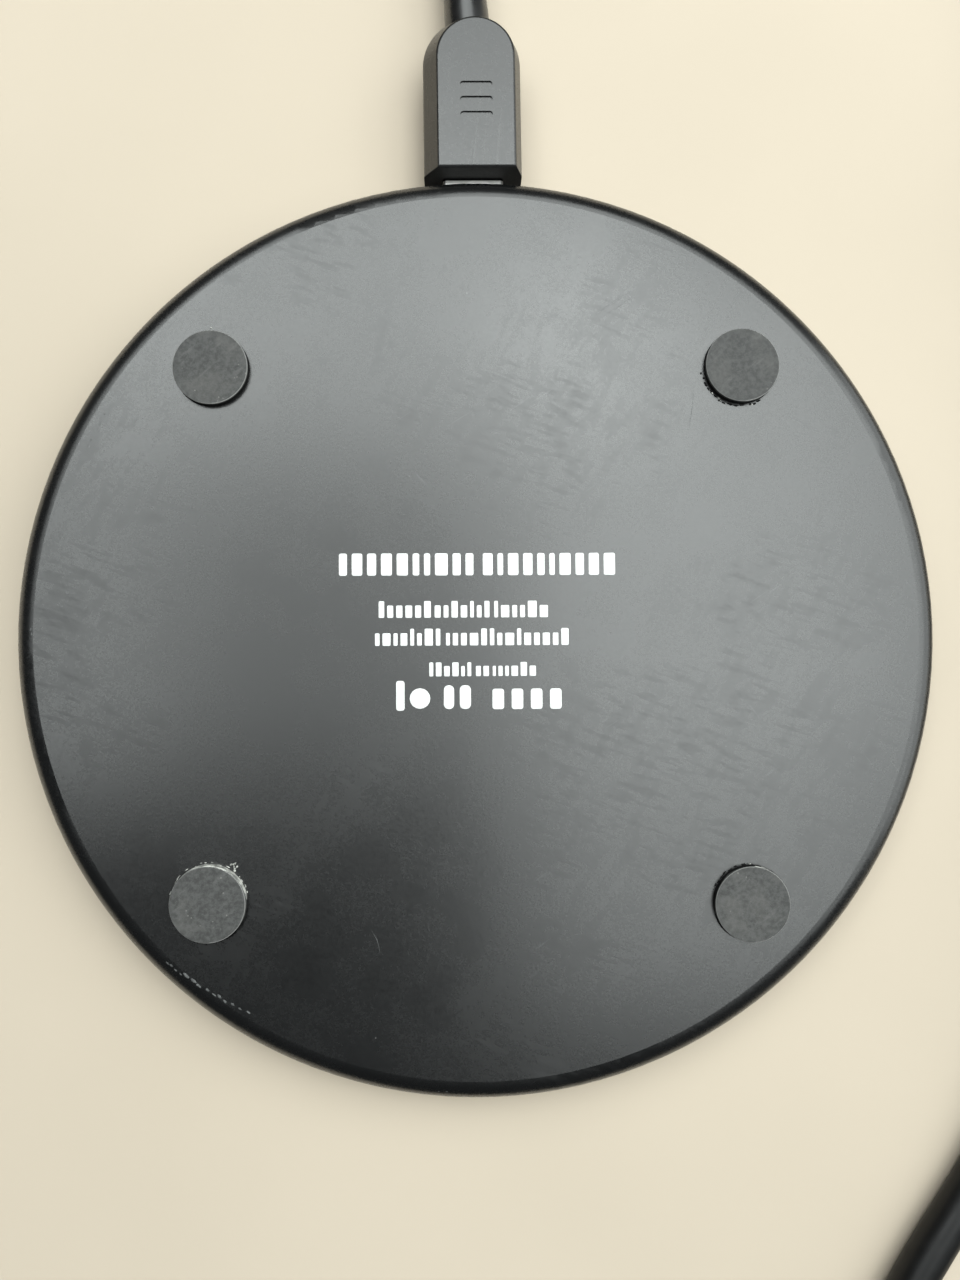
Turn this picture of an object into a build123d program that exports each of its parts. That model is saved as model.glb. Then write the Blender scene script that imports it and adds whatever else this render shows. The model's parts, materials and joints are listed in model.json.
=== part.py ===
"""Round wireless charging pad, 100 mm across, with its micro-USB lead plugged in.

The pad lies face down, as it is stored or turned over to read its underside: the
charging face is at z = 0 and the four rubber feet point up. The origin is the centre
of the charging face, +Y runs out through the micro-USB port, and +Z runs towards the
feet. The lead leaves the port along +Y, lies loosely round the pad's +X side, and its
spare length is wound in a tied coil that ends in a USB-A plug. Sizes are millimetres.
"""

import os
from math import cos, pi, radians, sin, tan

from build123d import *

os.makedirs("parts", exist_ok=True)

# ---------------------------------------------------------------- driving dimensions
pad_radius = 50.0
pad_thickness = 8.2
parting_height = 2.0  # where the two covers meet
side_wall = 1.8
back_skin = 1.2
back_edge_round = 2.4
front_edge_round = 1.2
seam_chamfer = 0.15
slip_gap = 0.1  # assembly gap between nested plastic pieces
lay_gap = 0.05  # gap between pieces that only lie against each other

face_radius = 44.6
face_thickness = 0.8
face_edge_chamfer = 0.25
tape_thickness = 0.1
tape_inset = 0.8
tape_ring_width = 13.8

foot_radius = 4.0
foot_height = 0.85
foot_edge_round = 0.12
foot_offset = 28.7  # feet and case screws sit on a square of twice this

port_height = pad_thickness / 2 + 0.1  # centre of the micro-USB port above the face
plug_gap = 1.25  # between the pad's rim and the plug's overmold

cord_diameter = 4.5
cord_radius = cord_diameter / 2
cord_floor_height = cord_radius + lay_gap  # centre of the cord where it lies

# ---------------------------------------------------------------- derived heights, radii
face_recess = face_thickness + tape_thickness
back_inner_height = pad_thickness - back_skin
cavity_radius = pad_radius - side_wall

boss_top = 5.5  # front cover's screw bosses meet the back cover's here
boss_radius = 2.7
back_boss_radius = 3.2
screw_radius = 1.0
screw_head_radius = 1.9
screw_head_height = 1.1
screw_head_pocket = 1.6
screw_head_round = 0.35
screw_length = 3.9
screw_hole_depth = 3.1
screw_recess = (2.0, 0.45, 0.6)  # cross recess: long side, short side, depth
thread_slack = 0.02
screw_clearance = 0.15
head_clearance = 0.2

board_thickness = 0.8
board_bottom = port_height + 1.25  # the socket hangs from the board's coil side
board_top = board_bottom + board_thickness
board_half_width = 24.0
board_inner_edge = 27.0
board_radius = 46.3
board_screw_spots = [(-20.0, 33.0), (20.0, 33.0)]
board_post_radius = 2.0
board_screw_radius = 0.75
board_screw_head = (1.5, 0.6)  # radius and height
board_screw_length = 3.2
board_screw_hole_depth = 2.8
board_screw_recess = (1.6, 0.35, 0.3)

wire_diameter = 1.15
coil_half_turns = 23
coil_pitch = 1.2
coil_inner_radius = 10.75
coil_tape_inset = 1.0  # the tape reaches this far inside the coil
coil_height = parting_height + tape_thickness + wire_diameter / 2
ferrite_bottom = coil_height + wire_diameter / 2 + lay_gap
ferrite_thickness = 0.8
ferrite_radius = 26.0
ferrite_slot_length = 32.5
ferrite_slot_width = 2.7
coil_rim_gap = 0.3
coil_rim_width = 0.9
coil_rim_height = 1.2
coil_rim_opening = (62.4, 41.6)  # the rim is cut away over this width and length


def save(builder, name):
    """Label a finished piece and write it as its own STEP file."""
    builder.part.label = name
    export_step(builder.part, f"parts/{name}.step")


def foot_square():
    """The four places of the feet and case screws, on the current plane."""
    return GridLocations(2 * foot_offset, 2 * foot_offset, 2, 2)


def port_plane(distance):
    """A plane across the port's axis at this Y, facing away from the pad."""
    return Plane(origin=(0, distance, port_height), x_dir=(-1, 0, 0), z_dir=(0, 1, 0))


# ---------------------------------------------------------------- front cover and face
lip_outer_radius = cavity_radius - slip_gap
lip_width = 0.9
lip_height = 1.5
port_notch_width = 12.0

with BuildPart() as front_cover:
    with BuildSketch():
        Circle(pad_radius)
    extrude(amount=parting_height)
    fillet(front_cover.edges().group_by(Axis.Z)[0], radius=front_edge_round)
    chamfer(front_cover.edges().group_by(Axis.Z)[-1], length=seam_chamfer)
    with BuildSketch():
        Circle(face_radius + slip_gap)
    extrude(amount=face_recess, mode=Mode.SUBTRACT)
    # the lip that nests inside the back cover, open where the port stands
    with BuildSketch(Plane.XY.offset(parting_height)):
        Circle(lip_outer_radius)
        Circle(lip_outer_radius - lip_width, mode=Mode.SUBTRACT)
        with Locations((0, cavity_radius)):
            Rectangle(port_notch_width, port_notch_width, mode=Mode.SUBTRACT)
    extrude(amount=lip_height)
    # bosses for the case screws and posts for the board
    with BuildSketch(Plane.XY.offset(parting_height)):
        with foot_square():
            Circle(boss_radius)
    extrude(amount=boss_top - parting_height)
    with BuildSketch(Plane.XY.offset(parting_height)):
        with Locations(*board_screw_spots):
            Circle(board_post_radius)
    extrude(amount=board_bottom - parting_height)
    with Locations(Plane.XY.offset(boss_top)):
        with foot_square():
            Hole(radius=screw_radius + thread_slack, depth=screw_hole_depth)
    with Locations(Plane.XY.offset(board_bottom)):
        with Locations(*board_screw_spots):
            Hole(radius=board_screw_radius + thread_slack, depth=board_screw_hole_depth)
    # low rim that locates the coil, open towards the board
    with BuildSketch(Plane.XY.offset(parting_height)):
        Circle(ferrite_radius + coil_rim_gap + coil_rim_width)
        Circle(ferrite_radius + coil_rim_gap, mode=Mode.SUBTRACT)
        with Locations((0, ferrite_radius)):
            Rectangle(*coil_rim_opening, mode=Mode.SUBTRACT)
    extrude(amount=coil_rim_height)
save(front_cover, "front_cover")

with BuildPart() as charging_face:
    with BuildSketch():
        Circle(face_radius)
    extrude(amount=face_thickness)
    chamfer(charging_face.edges().group_by(Axis.Z)[0], length=face_edge_chamfer)
save(charging_face, "charging_face")

with BuildPart() as face_tape:
    with BuildSketch(Plane.XY.offset(face_thickness)):
        Circle(face_radius - tape_inset)
        Circle(face_radius - tape_inset - tape_ring_width, mode=Mode.SUBTRACT)
    extrude(amount=tape_thickness)
save(face_tape, "face_tape")

# ---------------------------------------------------------------- back cover
port_hole_width = 8.4
port_hole_height = 3.0
port_hole_round = 1.2

with BuildPart() as back_cover:
    with BuildSketch(Plane.XY.offset(parting_height)):
        Circle(pad_radius)
    extrude(amount=pad_thickness - parting_height)
    fillet(back_cover.edges().group_by(Axis.Z)[-1], radius=back_edge_round)
    chamfer(back_cover.edges().group_by(Axis.Z)[0], length=seam_chamfer)
    with BuildSketch(Plane.XY.offset(parting_height)):
        Circle(cavity_radius)
    extrude(amount=back_inner_height - parting_height, mode=Mode.SUBTRACT)
    with BuildSketch(Plane.XY.offset(boss_top)):
        with foot_square():
            Circle(back_boss_radius)
    extrude(amount=back_inner_height - boss_top)
    with Locations(Plane.XY.offset(pad_thickness)):
        with foot_square():
            CounterBoreHole(
                radius=screw_radius + screw_clearance,
                counter_bore_radius=screw_head_radius + head_clearance,
                counter_bore_depth=screw_head_pocket,
                depth=pad_thickness - boss_top,
            )
    with BuildSketch(port_plane(cavity_radius - side_wall)):
        RectangleRounded(port_hole_width, port_hole_height, radius=port_hole_round)
    extrude(amount=3 * side_wall, mode=Mode.SUBTRACT)
save(back_cover, "back_cover")

# ---------------------------------------------------------------- feet and their tape
# The feet were stuck on by hand, so each stands a little off its screw.
foot_spots = {
    "foot_port_left": (-28.55, 28.65),
    "foot_port_right": (28.85, 28.45),
    "foot_far_left": (-29.05, -28.35),
    "foot_far_right": (28.45, -29.45),
}
for foot_name, foot_spot in foot_spots.items():
    with BuildPart() as foot:
        with BuildSketch(Plane.XY.offset(pad_thickness + tape_thickness)):
            with Locations(foot_spot):
                Circle(foot_radius)
        extrude(amount=foot_height)
        fillet(foot.edges().group_by(Axis.Z)[-1], radius=foot_edge_round)
    save(foot, foot_name)

with BuildPart() as foot_tapes:
    with BuildSketch(Plane.XY.offset(pad_thickness)):
        with Locations(*foot_spots.values()):
            Circle(foot_radius - tape_thickness)
    extrude(amount=tape_thickness)
save(foot_tapes, "foot_tapes")

# ---------------------------------------------------------------- case and board screws
head_bottom = pad_thickness - screw_head_pocket

with BuildPart() as case_screws:
    with BuildSketch(Plane.XY.offset(head_bottom)):
        with foot_square():
            Circle(screw_head_radius)
    extrude(amount=screw_head_height)
    fillet(case_screws.edges().group_by(Axis.Z)[-1], radius=screw_head_round)
    with BuildSketch(Plane.XY.offset(head_bottom)):
        with foot_square():
            Circle(screw_radius)
    extrude(amount=-screw_length)
    recess_long, recess_short, recess_depth = screw_recess
    with BuildSketch(Plane.XY.offset(head_bottom + screw_head_height)):
        with foot_square():
            Rectangle(recess_long, recess_short)
            Rectangle(recess_short, recess_long)
    extrude(amount=-recess_depth, mode=Mode.SUBTRACT)
save(case_screws, "case_screws")

with BuildPart() as board_screws:
    head_radius, head_height = board_screw_head
    with BuildSketch(Plane.XY.offset(board_top)):
        with Locations(*board_screw_spots):
            Circle(head_radius)
    extrude(amount=head_height)
    with BuildSketch(Plane.XY.offset(board_top)):
        with Locations(*board_screw_spots):
            Circle(board_screw_radius)
    extrude(amount=-board_screw_length)
    recess_long, recess_short, recess_depth = board_screw_recess
    with BuildSketch(Plane.XY.offset(board_top + head_height)):
        with Locations(*board_screw_spots):
            Rectangle(recess_long, recess_short)
            Rectangle(recess_short, recess_long)
    extrude(amount=-recess_depth, mode=Mode.SUBTRACT)
save(board_screws, "board_screws")

# ---------------------------------------------------------------- coil, ferrite and tape
lead_end_height = board_bottom - wire_diameter / 2
lead_pass_height = ferrite_bottom + wire_diameter / 2 + lay_gap
inner_lead_x = -9.7
outer_lead_x = 21.6
solder_y = 29.8  # both leads meet the board here

# One strand of litz wire: a flat spiral of half turns that grow by half a pitch. Its
# inner end climbs through the ferrite's slot, and its outer end rises beside the ferrite.
with BuildLine(Plane.XY.offset(coil_height)) as spiral:
    arc = JernArc((-coil_inner_radius, 0), (0, -1), coil_inner_radius, 180)
    for half_turn in range(1, coil_half_turns):
        arc = JernArc(arc @ 1, arc % 1, coil_inner_radius + half_turn * coil_pitch / 2, 180)
with BuildLine() as inner_lead:
    FilletPolyline(
        (-coil_inner_radius, 0, coil_height),
        (-coil_inner_radius, 0.7, coil_height),
        (inner_lead_x, 2.3, lead_pass_height),
        (inner_lead_x, 26.0, lead_pass_height),
        (inner_lead_x, solder_y, lead_end_height),
        radius=[0.7, 0.8, 2.0],
    )
spiral_end = spiral.line @ 1
with BuildLine() as outer_lead:
    FilletPolyline(
        spiral_end,
        (spiral_end.X, 12.0, coil_height),
        (spiral_end.X - 0.3, 22.0, lead_pass_height),
        (outer_lead_x, solder_y, lead_end_height),
        radius=[8.0, 8.0],
    )

with BuildPart() as charging_coil:
    for strand in (spiral.line, inner_lead.line, outer_lead.line):
        with BuildSketch(Plane(origin=strand @ 0, z_dir=strand % 0)):
            Circle(wire_diameter / 2)
        sweep(path=strand)
save(charging_coil, "charging_coil")

with BuildPart() as coil_tape:
    with BuildSketch(Plane.XY.offset(parting_height)):
        Circle(coil_inner_radius + coil_half_turns * coil_pitch / 2)
        Circle(coil_inner_radius - coil_tape_inset, mode=Mode.SUBTRACT)
    extrude(amount=tape_thickness)
save(coil_tape, "coil_tape")

with BuildPart() as ferrite_sheet:
    with BuildSketch(Plane.XY.offset(ferrite_bottom)):
        Circle(ferrite_radius)
        with Locations((inner_lead_x, ferrite_radius / 2)):
            SlotOverall(ferrite_slot_length, ferrite_slot_width, rotation=90, mode=Mode.SUBTRACT)
    extrude(amount=ferrite_thickness)
save(ferrite_sheet, "ferrite_sheet")

# ---------------------------------------------------------------- circuit board
with BuildPart() as circuit_board:
    with BuildSketch(Plane.XY.offset(board_bottom)):
        Circle(board_radius)
        with Locations((0, board_inner_edge + board_radius / 2)):
            Rectangle(2 * board_half_width, board_radius, mode=Mode.INTERSECT)
    extrude(amount=board_thickness)
    with Locations(Plane.XY.offset(board_top)):
        with Locations(*board_screw_spots):
            Hole(radius=board_screw_radius + screw_clearance)
save(circuit_board, "circuit_board")


def board_chips(name, spots, width, length, height, corner=0.08):
    """Save a group of like components soldered to the board's coil side."""
    with BuildPart() as chips:
        with BuildSketch(Plane.XY.offset(board_bottom)):
            with Locations(*spots):
                Rectangle(width, length)
        extrude(amount=-height)
        fillet(chips.edges().group_by(Axis.Z)[0], radius=corner)
    save(chips, name)


board_chips("controller_chip", [(-2.5, 34.5)], 5.0, 5.0, 0.85)
board_chips("driver_chips", [(6.5, 33.0), (12.0, 33.0)], 3.9, 4.9, 1.1)
board_chips("resonance_capacitors", [(8.0 + 2.4 * k, 39.5) for k in range(4)], 1.6, 3.2, 1.5)
board_chips("input_capacitors", [(-8.2 - 2.2 * k, 41.5) for k in range(3)], 1.25, 2.0, 1.1)
board_chips("crystal", [(-10.5, 36.0)], 3.2, 2.5, 0.7)
resistor_spots = [(-14.0 - 1.4 * (k % 3), 30.5 + 2.0 * (k // 3)) for k in range(3)]
resistor_spots += [(-6.0 + 1.6 * k, 29.5) for k in range(7)]
board_chips("resistors", resistor_spots, 0.5, 1.0, 0.35, corner=0.04)

# ---------------------------------------------------------------- micro-USB socket
socket_mouth = 49.0
socket_back = 44.4
socket_width = 7.5
socket_height = 2.5
socket_wall = 0.25
socket_round = 0.6
tongue_width = 3.9
tongue_thickness = 0.6
tongue_rise = 0.1  # tongue's centre above the port's centre
tongue_root_depth = 0.4
tongue_root_size = (6.0, 1.6)
tongue_edge_round = 0.12
contact_pitch = 0.65
contact_width = 0.25
contact_thickness = 0.1
contact_setback = 0.3  # the contacts stop this short of the tongue's tip

with BuildPart() as usb_socket_shell:
    with BuildSketch(port_plane(socket_back)):
        RectangleRounded(socket_width, socket_height, radius=socket_round)
    extrude(amount=socket_mouth - socket_back)
    with BuildSketch(port_plane(socket_back + socket_wall)):
        RectangleRounded(
            socket_width - 2 * socket_wall,
            socket_height - 2 * socket_wall,
            radius=socket_round - socket_wall,
        )
    extrude(amount=socket_mouth, mode=Mode.SUBTRACT)
save(usb_socket_shell, "usb_socket_shell")

tongue_back = socket_back + socket_wall
tongue_tip = 48.3
with BuildPart() as usb_socket_tongue:
    with BuildSketch(port_plane(tongue_back)):
        Rectangle(*tongue_root_size)
    extrude(amount=tongue_root_depth)
    with BuildSketch(port_plane(tongue_back)):
        with Locations((0, tongue_rise)):
            Rectangle(tongue_width, tongue_thickness)
    extrude(amount=tongue_tip - tongue_back)
    fillet(usb_socket_tongue.edges().group_by(Axis.Y)[-1], radius=tongue_edge_round)
save(usb_socket_tongue, "usb_socket_tongue")


def contact_strips(start, end, height, name):
    """Save the row of five contacts, centred this far above the port's centre."""
    with BuildPart() as strips:
        with BuildSketch(port_plane(start)):
            with Locations((0, height)):
                with GridLocations(contact_pitch, 0, 5, 1):
                    Rectangle(contact_width, contact_thickness)
        extrude(amount=end - start)
    save(strips, name)


under_tongue = tongue_rise - tongue_thickness / 2 - contact_thickness / 2
contacts_start = tongue_back + tongue_root_depth
contact_strips(contacts_start, tongue_tip - contact_setback, under_tongue, "usb_socket_contacts")

# ---------------------------------------------------------------- micro-USB plug
overmold_front = pad_radius + plug_gap
overmold_length = 18.2
overmold_width = 11.0
overmold_top_width = 8.6
overmold_height = 7.0
overmold_straight = 2.4  # height of the upright band at mid height
overmold_slant = 0.45  # the overmold is turned a little about its axis: its top leans to +X
overmold_flank_round = 0.9
overmold_rim_round = 0.3
groove_length = 3.6
groove_width = 0.7
groove_pitch = 1.7
groove_depth = 0.18
grooves_middle = 7.6  # from the overmold's front face

shell_width = 6.85
shell_height = 1.8
shell_wall = 0.25
shell_round = 0.45
shell_tip = 45.2
shell_root = overmold_front + 3.0
latch_pitch = 4.2
latch_width = 0.7
latch_length = 2.4
latch_gap = 0.1
latch_edge_round = 0.2
latch_middle = shell_tip + 2.0

relief_start = 64.0
relief_length = 14.0
relief_start_radius = 2.75
relief_end_radius = cord_radius + lay_gap
cord_lean = radians(4.0)  # the cord leaves the plug leaning towards -X
cord_direction = Vector(-sin(cord_lean), cos(cord_lean), 0)
relief_root = Vector(0, relief_start, port_height)
cord_exit = relief_root + cord_direction * relief_length


def cord_plane(origin):
    """A plane across the cord where it leaves the plug, facing along it."""
    return Plane(origin=origin, x_dir=(0, 0, 1), z_dir=cord_direction)


with BuildPart() as plug_strain_relief:
    with BuildSketch(cord_plane(relief_root)):
        Circle(relief_start_radius)
    with BuildSketch(cord_plane(cord_exit)):
        Circle(relief_end_radius)
    loft()
save(plug_strain_relief, "plug_strain_relief")

with BuildPart() as plug_overmold:
    # a bullet-shaped plan whose flanks draw in above and below the upright band
    half_band = overmold_straight / 2
    flank_inset = (overmold_width - overmold_top_width) / 2
    with BuildSketch(Plane.XY.offset(port_height)):
        with Locations((0, overmold_front)):
            SlotOverall(2 * overmold_length, overmold_width, rotation=90)
    extrude(amount=half_band, both=True)
    for upward in (1, -1):
        with BuildSketch(Plane.XY.offset(port_height + upward * half_band)):
            with Locations((0, overmold_front)):
                SlotOverall(2 * overmold_length, overmold_width, rotation=90)
        with BuildSketch(Plane.XY.offset(port_height + upward * overmold_height / 2)):
            with Locations((upward * overmold_slant, overmold_front)):
                SlotOverall(2 * (overmold_length - flank_inset), overmold_top_width, rotation=90)
        loft()
    split(bisect_by=Plane(origin=(0, overmold_front, 0), z_dir=(0, 1, 0)), keep=Keep.TOP)
    flank_edges = plug_overmold.edges().filter_by(
        lambda edge: abs(abs((edge @ 0.5).Z - port_height) - half_band) < 0.01
        and (edge @ 0.5).Y > overmold_front + 0.01
    )
    fillet(flank_edges, radius=overmold_flank_round)
    rim_edges = plug_overmold.edges().group_by(Axis.Z)
    fillet(rim_edges[-1] + rim_edges[0], radius=overmold_rim_round)
    # a plain moulded mark of three grip grooves
    with BuildSketch(Plane.XY.offset(port_height + overmold_height / 2)):
        with Locations((overmold_slant, overmold_front + grooves_middle)):
            with GridLocations(0, groove_pitch, 1, 3):
                SlotOverall(groove_length, groove_width)
    extrude(amount=-groove_depth, mode=Mode.SUBTRACT)
    # pockets for the metal shell and for the strain relief
    with BuildSketch(port_plane(overmold_front)):
        RectangleRounded(shell_width, shell_height, radius=shell_round)
    extrude(amount=shell_root - overmold_front, mode=Mode.SUBTRACT)
    add(plug_strain_relief.part, mode=Mode.SUBTRACT)
save(plug_overmold, "plug_overmold")

with BuildPart() as plug_shell:
    with BuildSketch(port_plane(shell_tip)):
        RectangleRounded(shell_width, shell_height, radius=shell_round)
        RectangleRounded(
            shell_width - 2 * shell_wall,
            shell_height - 2 * shell_wall,
            radius=shell_round - shell_wall,
            mode=Mode.SUBTRACT,
        )
    extrude(amount=shell_root - shell_tip)
    # windows for the two latch springs on the underside
    with BuildSketch(Plane.XY.offset(port_height - shell_height / 2)):
        with Locations((0, latch_middle)):
            with GridLocations(latch_pitch, 0, 2, 1):
                Rectangle(latch_width + 2 * latch_gap, latch_length)
    extrude(amount=shell_wall, mode=Mode.SUBTRACT)
save(plug_shell, "plug_shell")

with BuildPart() as plug_latches:
    with BuildSketch(Plane.XY.offset(port_height - shell_height / 2)):
        with Locations((0, latch_middle)):
            with GridLocations(latch_pitch, 0, 2, 1):
                Rectangle(latch_width, latch_length)
    extrude(amount=shell_wall)
    fillet(plug_latches.edges().filter_by(Axis.X).group_by(Axis.Z)[0], radius=latch_edge_round)
save(plug_latches, "plug_latches")

inner_width = shell_width - 2 * shell_wall
inner_height = shell_height - 2 * shell_wall
insulator_plate = 0.18
insulator_plate_width = 3.3
insulator_block_start = tongue_tip + 1.2  # leaves room for the socket's tongue
insulator_setback = 0.3  # from the shell's tip
plug_contact_setback = 0.5
with BuildPart() as plug_insulator:
    with BuildSketch(port_plane(insulator_block_start)):
        RectangleRounded(inner_width, inner_height, radius=shell_round - shell_wall)
    extrude(amount=shell_root - insulator_block_start)
    with BuildSketch(port_plane(shell_tip + insulator_setback)):
        with Locations((0, (insulator_plate - inner_height) / 2)):
            Rectangle(insulator_plate_width, insulator_plate)
    extrude(amount=insulator_block_start - shell_tip)
save(plug_insulator, "plug_insulator")

above_plate = insulator_plate - inner_height / 2 + contact_thickness / 2
contact_strips(shell_tip + plug_contact_setback, insulator_block_start, above_plate, "plug_contacts")

# ---------------------------------------------------------------- lead
coil_centre = (9.1, -111.0)
coil_lift = 0.65  # the tie under the bundle holds it this far off the surface
coil_middle_radius = 26.0  # middle of three turns side by side, with more on top of them
coil_outer_turn_radius = coil_middle_radius + cord_diameter
coil_top_turn_radius = coil_middle_radius + cord_radius  # lies between the two turns below
coil_bottom_turn = coil_lift + cord_radius + lay_gap
coil_top_turn = coil_bottom_turn + cord_diameter * sin(radians(60))
bundle_width = 3 * cord_diameter + 2 * lay_gap
bundle_height = coil_top_turn + cord_radius + lay_gap - coil_lift
first_run = 9.0  # the cord runs straight this far out of the plug

cord_route = [
    tuple(cord_exit),
    tuple(cord_exit + cord_direction * first_run),
    (1.0, 101.5, cord_floor_height),
    (9.5, 114.0, cord_floor_height),
    (26.0, 120.5, cord_floor_height),
    (45.0, 117.5, cord_floor_height),
    (59.5, 105.0, cord_floor_height),
    (66.5, 86.0, cord_floor_height),
    (68.0, 60.0, cord_floor_height),
    (65.5, 25.0, cord_floor_height),
    (67.0, -5.0, cord_floor_height),
    (66.5, -32.0, cord_floor_height),
    (60.3, -54.4, cord_floor_height),
    (44.3, -76.7, cord_floor_height),
    (40.1, -90.0, cord_floor_height + 0.1),
    (coil_centre[0] + coil_outer_turn_radius, -103.3, coil_bottom_turn),
]

# The tail leaves the coil's top turn along its tangent, 100 degrees before +X.
tail_leave_angle = radians(-100)
tail_direction = Vector(sin(tail_leave_angle), -cos(tail_leave_angle), 0)
tail_side = Vector(cos(tail_leave_angle), sin(tail_leave_angle), 0)
tail_root = Vector(*coil_centre, 0) + tail_side * coil_top_turn_radius
plug_a_height = 4.3
tail_end_run = 20.5


def tail_point(run, height):
    """A point this far along the tail's tangent, at this height."""
    return tail_root + tail_direction * run + Vector(0, 0, height)


tail_route = [
    tail_point(5.0, coil_top_turn - 0.5),
    tail_point(12.5, 4.9),
    tail_point(tail_end_run, plug_a_height),
]


def corner_radii(points):
    """Each corner's radius: 0.45 of its shorter run over the tangent of half its turn."""
    corners = [Vector(*point) for point in points]
    radii = []
    for before, corner, after in zip(corners, corners[1:], corners[2:]):
        arriving, leaving = corner - before, after - corner
        half_turn_angle = radians(arriving.get_angle(leaving) / 2)
        radii.append(0.45 * min(arriving.length, leaving.length) / tan(half_turn_angle))
    return radii


def report_tube(name, line, part):
    """Print how the tube's volume compares with its section times its length."""
    length = sum(edge.length for edge in line.edges())
    ratio = part.volume / (pi * cord_radius**2 * length)
    print(f"{name}: length {length:.1f} mm, volume ratio {ratio:.4f}")


cord_corner_radii = corner_radii(cord_route)
tail_corner_radii = corner_radii(tail_route)
print("cord radii", [round(radius, 1) for radius in cord_corner_radii])
print("tail radii", [round(radius, 1) for radius in tail_corner_radii])

with BuildPart() as usb_cable:
    with BuildLine() as cord_line:
        FilletPolyline(*cord_route, radius=cord_corner_radii)
    with BuildSketch(Plane(origin=cord_line.line @ 0, z_dir=cord_line.line % 0)):
        Circle(cord_radius)
    sweep(path=cord_line.line)
save(usb_cable, "usb_cable")
report_tube("cord", cord_line.line, usb_cable.part)

with BuildPart() as usb_cable_tail:
    with BuildLine() as tail_line:
        FilletPolyline(*tail_route, radius=tail_corner_radii)
    with BuildSketch(Plane(origin=tail_line.line @ 0, z_dir=tail_line.line % 0)):
        Circle(cord_radius)
    sweep(path=tail_line.line)
save(usb_cable_tail, "usb_cable_tail")
report_tube("tail", tail_line.line, usb_cable_tail.part)

coil_axis = Axis((*coil_centre, 0), (0, 0, 1))
bundle_middle = coil_lift + bundle_height / 2
with BuildPart() as usb_cable_coil:
    with BuildSketch(Plane(origin=(*coil_centre, 0), x_dir=(1, 0, 0), z_dir=(0, -1, 0))):
        with Locations((coil_middle_radius, bundle_middle)):
            RectangleRounded(bundle_width, bundle_height, radius=cord_radius)
    revolve(axis=coil_axis)
save(usb_cable_coil, "usb_cable_coil")

tie_width = 5.0
tie_thickness = 0.55
tie_side_gap = 0.25
tie_inner_width = bundle_width + 2 * tie_side_gap
tie_inner_height = bundle_height + 2 * lay_gap
with BuildPart() as cable_tie:
    tie_place = (coil_centre[0] - coil_middle_radius, coil_centre[1], bundle_middle)
    with BuildSketch(Plane(origin=tie_place, x_dir=(1, 0, 0), z_dir=(0, -1, 0))):
        RectangleRounded(
            tie_inner_width + 2 * tie_thickness,
            tie_inner_height + 2 * tie_thickness,
            radius=cord_radius + tie_thickness,
        )
        RectangleRounded(tie_inner_width, tie_inner_height, radius=cord_radius, mode=Mode.SUBTRACT)
    extrude(amount=tie_width / 2, both=True)
save(cable_tie, "cable_tie")

# ---------------------------------------------------------------- USB-A plug
relief_a_length = 7.0
overmold_a_length = 16.0
overmold_a_width = 15.0
overmold_a_height = 7.6
shell_a_length = 12.0
shell_a_width = 12.0
shell_a_height = 4.5
shell_a_wall = 0.3
shell_a_hidden = 5.0
shell_a_round = 0.5
overmold_a_round = 2.2
overmold_a_end_round = 1.4
window_a = (2.5, 2.2, 5.0, 6.5)  # width, length, pitch, distance from the shell's tip
tongue_a_thickness = 1.84
tongue_a_root = 3.0
tongue_a_side_gap = 0.2
tongue_a_setback = 0.6  # from the shell's tip
insulator_a_round = 0.2
contact_a = (1.0, 0.2, 8.0, 2.25)  # width, thickness, length, pitch


def plug_a_plane(run):
    """A plane across the USB-A plug's axis, this far past the end of the tail."""
    origin = tail_point(tail_end_run + run, plug_a_height)
    return Plane(origin=origin, x_dir=tail_side, z_dir=tail_direction)


shell_a_root = relief_a_length + overmold_a_length - shell_a_hidden
shell_a_tip = relief_a_length + overmold_a_length + shell_a_length

with BuildPart() as plug_a_strain_relief:
    with BuildSketch(plug_a_plane(0)):
        Circle(relief_end_radius)
    with BuildSketch(plug_a_plane(relief_a_length)):
        Circle(relief_start_radius)
    loft()
save(plug_a_strain_relief, "plug_a_strain_relief")

with BuildPart() as plug_a_overmold:
    with BuildSketch(plug_a_plane(relief_a_length)):
        RectangleRounded(overmold_a_width, overmold_a_height, radius=overmold_a_round)
    extrude(amount=overmold_a_length)
    cord_side = plug_a_overmold.faces().sort_by(Axis(tail_root, tail_direction))[0]
    fillet(cord_side.edges(), radius=overmold_a_end_round)
    with BuildSketch(plug_a_plane(shell_a_root)):
        RectangleRounded(shell_a_width, shell_a_height, radius=shell_a_round)
    extrude(amount=shell_a_hidden, mode=Mode.SUBTRACT)
save(plug_a_overmold, "plug_a_overmold")

with BuildPart() as plug_a_shell:
    with BuildSketch(plug_a_plane(shell_a_root)):
        RectangleRounded(shell_a_width, shell_a_height, radius=shell_a_round)
        RectangleRounded(
            shell_a_width - 2 * shell_a_wall,
            shell_a_height - 2 * shell_a_wall,
            radius=shell_a_round - shell_a_wall,
            mode=Mode.SUBTRACT,
        )
    extrude(amount=shell_a_tip - shell_a_root)
    # the two square latch windows on each broad side
    window_width, window_length, window_pitch, window_inset = window_a
    window_origin = tail_point(tail_end_run + shell_a_tip - window_inset, 0)
    with BuildSketch(Plane(origin=window_origin, x_dir=tail_side, z_dir=(0, 0, 1))):
        with GridLocations(window_pitch, 0, 2, 1):
            Rectangle(window_width, window_length)
    extrude(amount=2 * plug_a_height, mode=Mode.SUBTRACT)
save(plug_a_shell, "plug_a_shell")

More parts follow.
